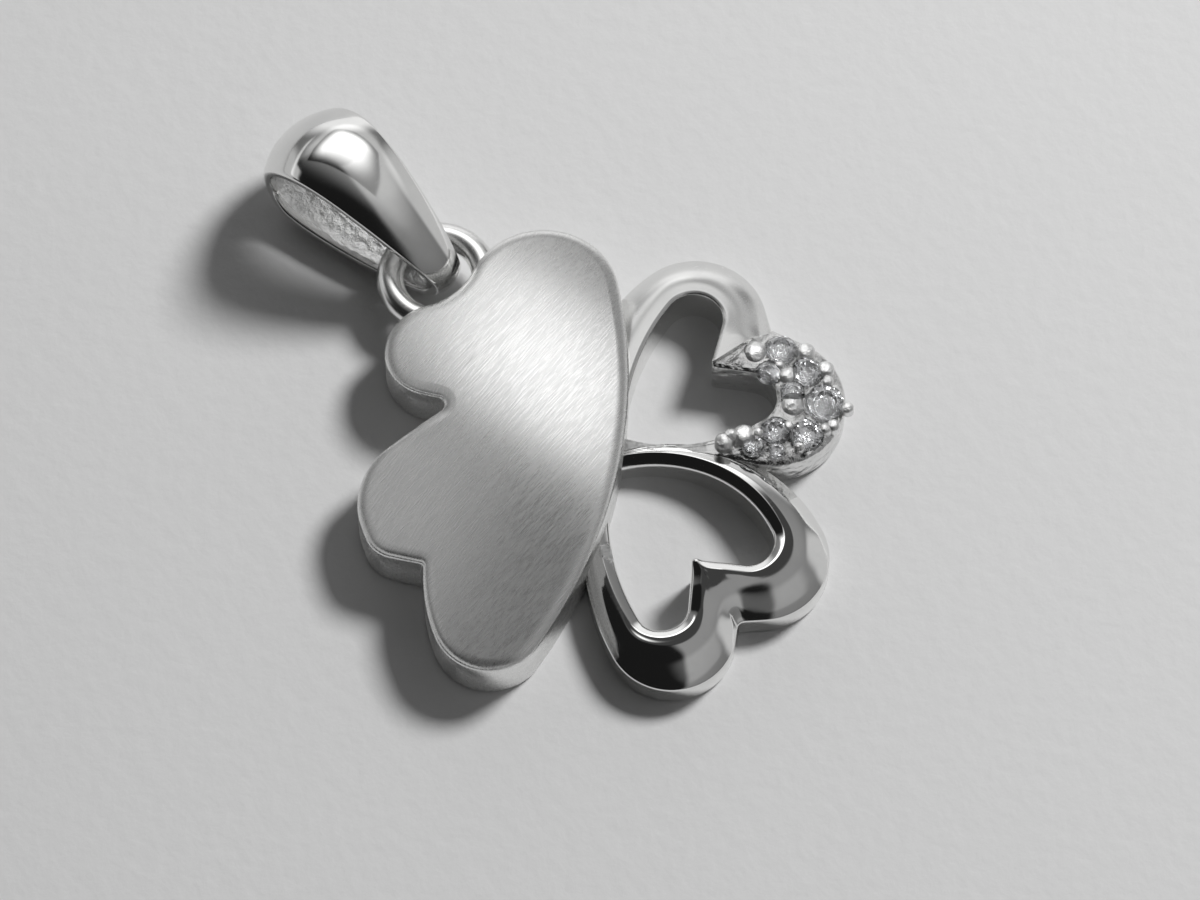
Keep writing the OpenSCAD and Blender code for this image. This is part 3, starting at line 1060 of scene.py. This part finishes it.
    def build_grains(self, finish: bpy.types.Material) -> bpy.types.Object:
        """Builds round-topped grains: a quarter ellipse carried round each centre over a straight root.

        Args:
            finish: their material.

        Returns:
            The grains, as one piece.
        """
        bend = np.linspace(0, np.pi / 2, self.grain_steps)
        radius = np.concatenate([np.cos(bend)[::-1], [1.0, 1.0]])
        height = np.concatenate([self.grain_dome * (np.sin(bend)[::-1] - 1), self.grain_root])
        angle = np.linspace(0, 2 * np.pi, self.grain_sides, endpoint=False)
        plan = radius[:, None] * np.cos(angle), radius[:, None] * np.sin(angle)
        shape = np.stack([*plan, np.repeat(height[:, None], self.grain_sides, 1)], -1)
        table = np.array(self.grains)
        r = table[:, 2] * self.grain / 2
        points = shape[None] * r[:, None, None, None]
        points[..., :2] += (table[:, :2] * LEAF)[:, None, None, :]
        points[..., 2] += self.grain_top
        first = np.arange(len(r)) * len(radius) * self.grain_sides
        faces = grid_faces(len(radius), self.grain_sides)[None] + first[:, None, None]
        faces = faces.reshape(-1, 4)
        piece = make_piece("setting_grains", points.reshape(-1, 3), faces, smooth_below=60)
        mark_skin(piece, np.ones(len(piece.data.vertices)))
        return settle(piece, "clover_body", finish)


@dataclass(frozen=True)
class OpenHeart:
    """Open heart: a band between two plan lines, whose crown falls from its inner to its outer edge.

    The heights hold the outer and inner edges on the half with positive x, then on the other half. The
    first half's arm falls towards the heart's tip. Sizes are in millimetres. The plan lines, and the
    distances from the middle over which the cast skin begins, are shares of half the clover's width.
    """

    name: str
    finish: bpy.types.Material
    turn: float
    outer: tuple[tuple[float, ...], ...]
    inner: tuple[tuple[float, ...], ...]
    heights: tuple[tuple[float, float], tuple[float, float]] = ((1.0, 1.78), (1.0, 1.78))
    stones: Stones | None = None
    lip_round: float = 0.14
    lip_steps: int = 7
    rim_round: float = 0.14
    fall: float = 0.0
    crown_power: float = 2.0
    full_width: float = 0.19 * LEAF
    crossing: float = 0.04
    begin: float = 0.6
    notch_reach: float = 1.2
    far: float = 9.0
    skin_from: tuple[float, float] = (0.36, 0.52)
    margin: float = 0.2
    ripple: float = 0.004
    ripples: float = 2.3
    spacing: float = 0.06
    across: int = 40

    def fullness(self, width: np.ndarray) -> np.ndarray:
        """Share of the full height at a width w: (1 - e^(-2.3 (w / full)^2)) / 0.9, at most 1.05."""
        return np.minimum((1 - np.exp(-2.3 * (width / self.full_width) ** 2)) / 0.9, 1.05)

    def edge_height(self, step: np.ndarray, edge: int) -> np.ndarray:
        """Height of an edge, 0 for the outer and 1 for the inner, at the first half's share, step."""
        return self.heights[0][edge] * step + self.heights[1][edge] * (1 - step)

    def bevel(self, hole: Walk) -> np.ndarray:
        """Narrows the rim's rounding where it would cross the line on which the notch's two sides meet.

        From a point p with the way d into the metal, that line through the notch's centre c along m lies
        q = ((c - p) x m) / (d x m) away. The width is (round^-4 + (0.96 q)^-4)^(-1/4), a smooth minimum.
        A point beyond the notch's reach takes a far value for q, which leaves its rounding as it is.

        Args:
            hole: the inner plan line's points.

        Returns:
            The rounding's width at each point.
        """
        none = np.zeros(len(hole.radius))
        edge, deep = hole.inset(none), hole.inset(none - 1)
        c = np.array(self.inner[2][:2]) * LEAF
        m = np.array(self.outer[2][:2]) * LEAF - c
        gap, way = c - edge, deep - edge
        away = (gap[:, 0] * m[1] - gap[:, 1] * m[0]) / (way[:, 0] * m[1] - way[:, 1] * m[0] + 1e-9)
        beside = (away > 0) & (np.linalg.norm(gap, axis=1) < self.notch_reach)
        away = np.where(beside, away, self.far)
        return (self.rim_round**-4 + (0.96 * away) ** -4) ** -0.25

    def build(self) -> bpy.types.Object:
        """Builds rings round the heart: foot, wall, lip, crown, rim and inner wall, back to the foot.

        The lip is an arc that turns from the wall into the crown's slope. The crown's height at a share
        t of the width is low + (top - low) * (1 - (1 - t)^power).

        Returns:
            The heart.
        """
        outer, inner = PlanLine(self.outer), PlanLine(self.inner)
        at = outer.spread(self.spacing, 2 * len(self.outer), inner)
        wall, hole = outer.walk(at), inner.walk(at)
        # Share of the first half's heights, from the tip to the middle of the notch's arc
        middle = len(self.outer) + 0.5
        step = 1 - eased(at, middle - self.crossing, middle + self.crossing)
        step = step * eased(at, 0.0, self.begin)
        # The fall is none on the lobe, grows down the arm and is whole at the tip
        lost = self.fall * step * np.clip(2 - at, 0, 1) ** 1.5
        lip, rim = self.edge_height(step, 0) - lost, self.edge_height(step, 1) - lost
        tall = rim - lip
        bare = np.zeros(len(at))
        lines = wall.inset(bare), hole.inset(bare)
        bevel = self.bevel(hole)
        brim = hole.inset(-bevel)
        gap = soft_depth(brim, lines[0])
        rim = lip + tall * self.fullness(gap)
        bend = np.pi / 2 - np.arctan(self.crown_power * (rim - lip) / gap)
        rings = foot_rings(wall)
        for part in np.linspace(0, 1, self.lip_steps):
            plan = wall.inset(self.lip_round * (1 - np.cos(part * bend)))
            rings.append(lift(plan, lip - self.lip_round + self.lip_round * np.sin(part * bend)))
        edge, low = rings[-1][:, :2], rings[-1][:, 2]
        share = np.linspace(0, 1, self.across)[1:, None]
        plan = edge * (1 - share[..., None]) + brim * share[..., None]
        outwards, inwards = soft_depth(plan, lines[0]), soft_depth(plan, lines[1])
        outwards = np.maximum(outwards - self.lip_round * (1 - np.cos(bend)), 0)
        inwards = np.maximum(inwards - self.rim_round, 0)
        # Distances to both lines shape the crown between its margins, and the even share in them
        near = eased(share, 0.0, self.margin) * (1 - eased(share, 1 - self.margin, 1.0))
        t = share * (1 - near) + outwards / (outwards + inwards) * near
        top = lip + tall * (self.fullness(outwards + inwards) * near + self.fullness(gap) * (1 - near))
        crown = np.concatenate([plan, (low + (top - low) * (1 - (1 - t) ** self.crown_power))[..., None]], -1)
        crown[..., 2] += self.ripple * near * np.sin(2 * np.pi * (self.ripples * t + 0.3 * np.sin(at)))
        set_share = np.zeros(len(at))
        if self.stones is not None:
            set_share = eased(step, 0.5, 1.0)
            sunk = self.stones.sink(turned(crown, self.turn), np.broadcast_to(set_share, crown.shape[:2]))
            crown = turned(sunk, -self.turn)
        rings += list(crown)
        rings += [lift(hole.inset(-bevel * (1 - across)), rim - bevel * down) for across, down in RIM]
        rings.append(lift(lines[1], 0.0))
        points = turned(np.stack(rings), self.turn).reshape(-1, 3)
        faces = grid_faces(len(rings), len(at), loop=True)
        piece = make_piece(self.name, points, faces, smooth_below=45)
        reach = np.linalg.norm(lines[0], axis=1) / LEAF
        mark_skin(piece, np.tile(set_share * eased(reach, *self.skin_from), len(rings)))
        return settle(piece, "clover_body", self.finish)


@dataclass(frozen=True)
class HangerRing:
    """Thick round ring in the top leaf's notch, in millimetres."""

    finish: bpy.types.Material
    wire: float = 0.9
    radius: float = 1.6
    height: float = 1.15
    steps: int = 160
    around: int = 40

    def build(self) -> bpy.types.Object:
        """Builds the ring: a circle of the wire's radius carried round the ring's circle.

        Returns:
            The ring.
        """
        turn = np.linspace(0, 2 * np.pi, self.steps, endpoint=False)
        roll = np.linspace(0, 2 * np.pi, self.around, endpoint=False)
        u, v = np.meshgrid(turn, roll, indexing="ij")
        reach = self.radius + self.wire / 2 * np.cos(v)
        points = np.stack([reach * np.cos(u), reach * np.sin(u), self.wire / 2 * np.sin(v)], -1)
        points += np.array([RING_SPOT[0] * LEAF, RING_SPOT[1] * LEAF, self.height])
        faces = grid_faces(self.steps, self.around, loop=True)
        piece = make_piece("hanger_ring", points.reshape(-1, 3), faces, smooth_below=60)
        return settle(piece, "clover_body", self.finish)


@dataclass(frozen=True)
class Bail:
    """Tapered loop that hangs loose in the ring, lying on its back. Its sizes are in millimetres.

    The side line's columns are shares of the length and height. The strap's inside has columns across,
    deep and cast, and its outside across and deep, in shares of its half width and of its curve.
    """

    finish: bpy.types.Material
    length: float = 7.7
    height: float = 4.55
    width: float = 3.65
    tip_width: float = 1.24
    thick: float = 0.62
    rim: float = 0.3
    crown: float = 0.56
    flare: float = 1.85
    loss: float = 0.26
    turn: float = 12.0
    slide: float = 0.26
    play: float = 1.0
    steps: int = 20
    around: int = 96
    line: tuple[tuple[float, float], ...] = (
        (0.000, 0.20), (0.030, 0.38), (0.165, 0.60), (0.370, 0.84), (0.570, 0.98), (0.740, 0.97),
        (0.890, 0.80), (0.985, 0.52), (0.965, 0.24), (0.860, 0.05), (0.700, 0.00), (0.450, 0.00),
        (0.200, 0.00), (0.060, 0.05),
    )
    inside: tuple[tuple[float, float, float], ...] = (
        (0.0, 0.0, 1), (0.38, 0.12, 1), (0.62, 0.4, 1), (0.75, 0.75, 1), (0.83, 0.97, 0.6), (0.88, 1.02, 0),
        (0.96, 1.0, 0),
    )
    outside: tuple[tuple[float, float], ...] = (
        (0.985, 0.97), (0.92, 0.83), (0.8, 0.63), (0.64, 0.39), (0.46, 0.19), (0.26, 0.05), (0.0, 0.0),
    )

    def path(self) -> np.ndarray:
        """Draws the side line: a Catmull-Rom curve through the table's points, in equal steps.

        Returns:
            Places along the length and up the height.
        """
        rows = np.array(self.line)
        k, s = np.meshgrid(np.arange(len(rows)), np.arange(self.steps) / self.steps, indexing="ij")
        k, s = k.ravel(), s.ravel()[:, None]
        p = [rows[(k + j) % len(rows)] for j in (-1, 0, 1, 2)]
        curve = 0.5 * (
            2 * p[1] + (p[2] - p[0]) * s + (2 * p[0] - 5 * p[1] + 4 * p[2] - p[3]) * s**2
            + (3 * p[1] - p[0] - 3 * p[2] + p[3]) * s**3
        )
        return np.stack([curve[:, 0] * self.length, np.maximum(curve[:, 1], 0) * self.height], 1)

    def section(self, half: np.ndarray) -> tuple[np.ndarray, np.ndarray]:
        """Draws the strap's section. Its corner points are rounded by a closed cubic B-spline.

        Args:
            half: half widths along the side line.

        Returns:
            Places across and inwards round the strap for each half width, and the share that is cast.
        """
        crown = self.crown * np.minimum(1, 2 * half / self.width)
        side = crown + self.rim
        hollow = side - self.thick
        right = [(across * half, self.thick + deep * hollow, cast) for across, deep, cast in self.inside]
        # The strap's edge is straight over most of its rim
        right += [(half, side - 0.15 * self.rim, 0), (half, crown + 0.2 * self.rim, 0)]
        right += [(across * half, deep * crown, 0) for across, deep in self.outside]
        left = [(-across, deep, cast) for across, deep, cast in right[-2:0:-1]]
        rows = np.stack([np.stack([a, b, np.full_like(half, c)], -1) for a, b, c in right + left])
        spot = np.arange(self.around) / self.around * len(rows)
        k, s = np.floor(spot).astype(int), (spot % 1)[:, None, None]
        p = [rows[(k + j) % len(rows)] for j in (-1, 0, 1, 2)]
        weights = (1 - s) ** 3, 3 * s**3 - 6 * s**2 + 4, -3 * s**3 + 3 * s**2 + 3 * s + 1, s**3
        out = sum(weight * point for weight, point in zip(weights, p)) / 6
        return out[..., :2], out[..., 2]

    def build(self) -> bpy.types.Object:
        """Carries the section along the side line, with its inward axis across the line's direction.

        Returns:
            The loop.
        """
        path = self.path()
        ahead = np.roll(path, -1, 0) - np.roll(path, 1, 0)
        inward = np.stack([ahead[:, 1], -ahead[:, 0]], 1) / np.linalg.norm(ahead, axis=1)[:, None]
        t = np.clip(path[:, 0] / self.length, 0, 1)
        opened = 1 - (1 - t) ** self.flare - self.loss * t**5
        shape, skin = self.section((self.tip_width + (self.width - self.tip_width) * opened) / 2)
        start = HangerRing.radius - HangerRing.wire / 2 - self.play - self.thick
        points = np.stack([
            shape[..., 0] + self.slide,
            path[:, 0] + inward[:, 0] * shape[..., 1] + start,
            path[:, 1] + inward[:, 1] * shape[..., 1],
        ], -1)
        points = turned(points, self.turn)
        points[..., :2] += np.array(RING_SPOT) * LEAF
        faces = grid_faces(self.around, len(path), loop=True)
        piece = make_piece("loop_bail", points.reshape(-1, 3), faces, smooth_below=60)
        mark_skin(piece, skin.ravel())
        return settle(piece, "bail", self.finish)


# The studio


@dataclass(frozen=True)
class Card:
    """Round patch of the light tent.

    The tilt of its middle is off the zenith, and the bearing is off the direction that the camera looks
    in, positive to the image's right. The reach is its radius, and the softness the width of its edge.
    These are in degrees. The level is its brightness.
    """

    tilt: float
    bearing: float
    reach: float
    softness: float
    level: float


class Group(Enum):
    """Pieces that a panel of light is set for."""

    SATIN = "satin"
    SETTING = "setting"
    GRAINS = "grains"
    STONES = "stones"
    HEART = "heart"
    HANGER = "hanger"


@dataclass(frozen=True)
class Softbox:
    """Near panel of light that faces down and is seen only in one group's metal or stones.

    Its middle and its width and depth are in millimetres, and its turn is that of its width off X. The
    softness is the share of its width over which it fades in from each edge.
    """

    name: str
    group: Group
    middle: tuple[float, float, float]
    turn: float
    size: tuple[float, float]
    level: float
    softness: float = 0.3

    def build(self, pieces: list[bpy.types.Object]) -> None:
        """Makes an area light with the brightness level * fade.

        Its power, pi * width * depth in metres, is that of a face with a brightness of 1.

        Args:
            pieces: the pieces that it lights.
        """
        data = bpy.data.lights.new(self.name, "AREA")
        data.shape = "RECTANGLE"
        data.size, data.size_y = (side * MM for side in self.size)
        data.energy = math.pi * data.size * data.size_y
        data.use_nodes = True
        board = Board(data.node_tree)
        spot = board.add("SeparateXYZ", None, Vector=board.add("NewGeometry").outputs["Parametric"])
        fade: object = self.level
        for axis in "XY":
            off_middle = board.maths("ABSOLUTE", board.maths("SUBTRACT", spot.outputs[axis], 0.5))
            inwards = board.maths("SUBTRACT", 0.5, off_middle)
            fade = board.times(fade, board.ramp(inwards, 0.0, self.softness))
        board.feed(data.node_tree.nodes["Emission"], "Strength", fade)
        panel = link_new(self.name, data)
        panel.location = Vector(self.middle) * MM
        panel.rotation_euler = (0, 0, math.radians(self.turn))
        panel.visible_camera = panel.visible_diffuse = False
        lit = bpy.data.collections.new(f"{self.name}_lights")
        for piece in pieces:
            lit.objects.link(piece)
        panel.light_linking.receiver_collection = lit


@dataclass(frozen=True)
class Studio:
    """Floor, light tent, key light, panels and camera.

    Distances are in millimetres, angles in degrees and the key light's power in watts.
    """

    elevation: float = 64.6
    heading: float = 37.4
    distance: float = 220.0
    target: tuple[float, float, float] = (-0.30, -0.15, 0.0)
    lens: float = 198.0
    shift: tuple[float, float] = (0.0021, 0.0233)
    cards: tuple[Card, ...] = (
        Card(90, 0, 28, 18, 0.95),
        Card(85, 70, 22, 12, 0.55),
        Card(45, -75, 28, 12, 0.13),
        Card(25, 0, 21, 4, 0.05),
        Card(57, -130, 60, 8, 0.01),
        Card(98, -72, 26, 10, 0.5),
    )
    softboxes: tuple[Softbox, ...] = (
        Softbox("satin_main", Group.SATIN, (6.9, 11.6, 20.0), 25.0, (13.0, 24.0), 1.35, 0.28),
        Softbox("satin_broad", Group.SATIN, (-3.0, 16.5, 20.0), 25.0, (50.0, 28.0), 0.34, 0.25),
        Softbox("satin_base", Group.SATIN, (-2.0, 6.0, 20.0), 0.0, (50.0, 50.0), 0.04, 0.2),
        Softbox("satin_edge", Group.SATIN, (-34.0, -2.0, 20.0), 0.0, (54.0, 90.0), 0.45, 0.2),
        Softbox("set_broad", Group.SETTING, (8.0, 8.0, 20.0), 25.0, (34.0, 34.0), 0.7),
        Softbox("set_far", Group.SETTING, (8.0, 34.0, 20.0), 10.0, (60.0, 30.0), 0.6),
        Softbox("stone_spark", Group.STONES, (13.0, 4.0, 20.0), 25.0, (2.2, 2.2), 20.0),
        Softbox("stone_glint", Group.STONES, (9.0, -9.0, 20.0), 25.0, (3.0, 6.0), 12.0),
        Softbox("stone_far", Group.STONES, (22.0, 22.0, 20.0), 25.0, (8.0, 8.0), 6.0),
        Softbox("set_right", Group.SETTING, (52.0, 10.0, 20.0), 25.0, (60.0, 60.0), 0.3),
        Softbox("grain_top", Group.GRAINS, (12.0, 8.0, 20.0), 25.0, (26.0, 26.0), 2.2),
        Softbox("grain_far", Group.GRAINS, (8.0, 34.0, 20.0), 10.0, (60.0, 30.0), 0.6),
        Softbox("stone_broad", Group.STONES, (10.0, 10.0, 20.0), 25.0, (60.0, 60.0), 0.35, 0.25),
        Softbox("stone_left", Group.STONES, (2.0, 9.0, 20.0), 25.0, (2.5, 2.5), 25.0),
        Softbox("stone_right", Group.STONES, (20.0, 7.0, 20.0), 25.0, (4.0, 4.0), 14.0),
        Softbox("heart_main", Group.HEART, (8.4, 21.8, 20.0), 25.0, (28.0, 34.0), 1.7, 0.25),
        Softbox("heart_low", Group.HEART, (2.0, -16.5, 8.0), 0.0, (20.0, 11.0), 0.1, 0.25),
        Softbox("hanger_main", Group.HANGER, (8.4, 21.8, 20.0), 25.0, (28.0, 34.0), 1.6, 0.35),
        Softbox("hanger_broad", Group.HANGER, (17.0, 25.0, 20.0), 15.0, (64.0, 74.0), 0.34, 0.25),
        Softbox("hanger_left", Group.HANGER, (-22.0, 50.0, 20.0), 0.0, (60.0, 46.0), 0.5, 0.2),
    )
    tent: float = 0.27
    tent_low: float = 0.55
    key_power: float = 1.2
    key_size: float = 100.0
    key_distance: float = 350.0
    key_tilt: float = 48
    key_bearing: float = 50
    floor_half: float = 400.0
    floor_drop: float = 0.004

    def away(self, tilt: float, bearing: float) -> Vector:
        """Unit vector at a tilt off the zenith and a bearing from the camera's heading."""
        t, b = math.radians(tilt), math.radians(self.heading + bearing)
        return Vector((math.sin(t) * math.sin(b), math.sin(t) * math.cos(b), math.cos(t)))

    @staticmethod
    def aim(thing: bpy.types.Object, toward: Vector) -> None:
        """Turns a camera or light so that it looks away from a direction, with its top up."""
        thing.rotation_mode = "QUATERNION"
        thing.rotation_quaternion = toward.to_track_quat("Z", "Y")

    def build_tent(self) -> None:
        """Colours the world: a grey tent, with each card over it where the angle to its middle is small."""
        world = bpy.data.worlds.new("light_tent")
        bpy.context.scene.world = world
        world.use_nodes = True
        board = Board(world.node_tree)
        where = board.add("TexCoord").outputs["Generated"]
        rise = board.add("SeparateXYZ", None, Vector=where).outputs["Z"]
        level: object = board.ramp(rise, -0.1, 0.9, self.tent * self.tent_low, self.tent)
        for card in self.cards:
            facing = board.add("VectorMath", {"operation": "DOT_PRODUCT"})
            board.feed(facing, 0, where)
            board.feed(facing, 1, self.away(card.tilt, card.bearing))
            inner = math.cos(math.radians(card.reach - card.softness / 2))
            outer = math.cos(math.radians(card.reach + card.softness / 2))
            share = board.ramp(facing.outputs["Value"], outer, inner)
            level = board.blend(share, level, card.level)
        grey = board.add("CombineColor", None, Red=level, Green=level, Blue=level)
        board.feed(world.node_tree.nodes["Background"], "Color", grey.outputs[0])

    def build_key(self) -> None:
        """Hangs a soft key light behind the pendant on the right, which no metal mirrors."""
        data = bpy.data.lights.new("key", "AREA")
        data.shape = "DISK"
        data.size, data.energy = self.key_size * MM, self.key_power
        lamp = link_new("key", data)
        toward = self.away(self.key_tilt, self.key_bearing)
        lamp.location = toward * self.key_distance * MM
        lamp.visible_glossy = False
        self.aim(lamp, toward)

    def build_floor(self, finish: bpy.types.Material) -> None:
        """Lays a flat square floor just under the pendant's back.

        Args:
            finish: its material.
        """
        places = np.linspace(-self.floor_half, self.floor_half, 9)
        x, y = np.meshgrid(places, places, indexing="xy")
        points = np.stack([x, y, np.full_like(x, -self.floor_drop)], -1).reshape(-1, 3)
        mesh = bpy.data.meshes.new("floor")
        mesh.from_pydata((points * MM).tolist(), [], grid_faces(9, 9, ring=False).tolist())
        mesh.materials.append(finish)
        link_new("floor", mesh)

    def build_camera(self) -> None:
        """Sets the camera at the photograph's angle, on its target."""
        data = bpy.data.cameras.new("camera")
        data.lens, data.sensor_width = self.lens, 36.0
        data.clip_start, data.clip_end = 0.01, 5.0
        data.shift_x, data.shift_y = self.shift
        camera = link_new("camera", data)
        toward = self.away(90 - self.elevation, 180)
        camera.location = Vector(self.target) * MM + toward * self.distance * MM
        self.aim(camera, toward)
        bpy.context.scene.camera = camera


def main() -> None:
    """Builds the studio and the pendant's pieces in order."""
    logging.basicConfig(level=logging.INFO, format="%(name)s: %(message)s")
    effects = Effects()
    bright, soft, grey = (0.90, 0.90, 0.89), (0.88, 0.88, 0.87), (0.72, 0.72, 0.72)
    satin = SatinFinish("satin_silver", bright, grey, 0.29).build(effects)
    polished = PolishedFinish(
        "polished_silver", bright, (0.74, 0.74, 0.74), 0.07, solder=((-1.95, -2.95, 0.35), (1.8, -0.5, 0.5))
    ).build(effects)
    set_metal = PolishedFinish(
        "soft_silver", soft, grey, 0.24, cast_uv=True, cast_rough=-0.06,
        solder=((1.1, -0.35, 0.5), (1.8, -0.95, 0.5), (2.6, -1.55, 0.5)), solder_rough=0.25,
    ).build(effects)
    ring_metal = PolishedFinish("ring_silver", soft, grey, 0.24).build(effects)
    beads = PolishedFinish(
        "bead_silver", (0.96, 0.96, 0.95), (0.85, 0.85, 0.85), 0.32, cast_uv=True, cast_rough=0.1
    ).build(effects)
    bail_metal = PolishedFinish(
        "bail_silver", (0.84, 0.84, 0.83), (0.68, 0.68, 0.68), 0.09, cast_uv=True
    ).build(effects)
    clear = StoneFinish("clear_stone", (0.97, 0.98, 1.0), (0.90, 0.91, 0.93), 0.0).build(effects)
    pale = FloorFinish("pale_floor", (0.78, 0.78, 0.78), grey, 0.8).build()
    bpy.context.scene.view_settings.view_transform = "Standard"
    studio = Studio()
    studio.build_camera()
    studio.build_tent()
    studio.build_key()
    studio.build_floor(pale)
    bottom_heart = OpenHeart(
        "bottom_heart", polished, 180, rim_round=0.38, ripple=0.005,
        outer=(
            (0, 0.052, 0.052, 1.1), (0.243, 0.769, 0.259, 5), (0.004, 0.940, -0.030, 5),
            (-0.233, 0.729, 0.277, 0.66),
        ),
        inner=(
            (-0.010, 0.090, 0.018, 1.0), (0.224, 0.686, 0.101, 5), (0.010, 0.628, -0.018, 5),
            (-0.214, 0.657, 0.111, 0.52),
        ),
    )
    stones = Stones()
    right_heart = OpenHeart(
        "right_heart", set_metal, -90, heights=((1.3, 1.56), (1.0, 1.78)), fall=0.5, stones=stones,
        ripple=0.002,
        outer=(
            (0, 0.050, 0.050, -1.3), (0.236, 0.689, 0.287, 5), (-0.020, 0.915, -0.030, 5),
            (-0.245, 0.664, 0.290, 0.68),
        ),
        inner=(
            (-0.020, 0.150, 0.018, 0.66), (0.171, 0.611, 0.111, 5), (-0.028, 0.600, -0.018, 5),
            (-0.233, 0.646, 0.115, 1),
        ),
    )
    pieces = {
        Group.SATIN: [SatinPlate(satin).build()],
        Group.HEART: [bottom_heart.build()],
        Group.SETTING: [right_heart.build()],
        Group.GRAINS: [stones.build_grains(beads)],
        Group.STONES: [stones.build_stone(number + 1, clear) for number in range(len(stones.stones))],
        Group.HANGER: [HangerRing(ring_metal).build(), Bail(bail_metal).build()],
    }
    for box in studio.softboxes:
        box.build(pieces[box.group])


if __name__ == "__main__":
    main()
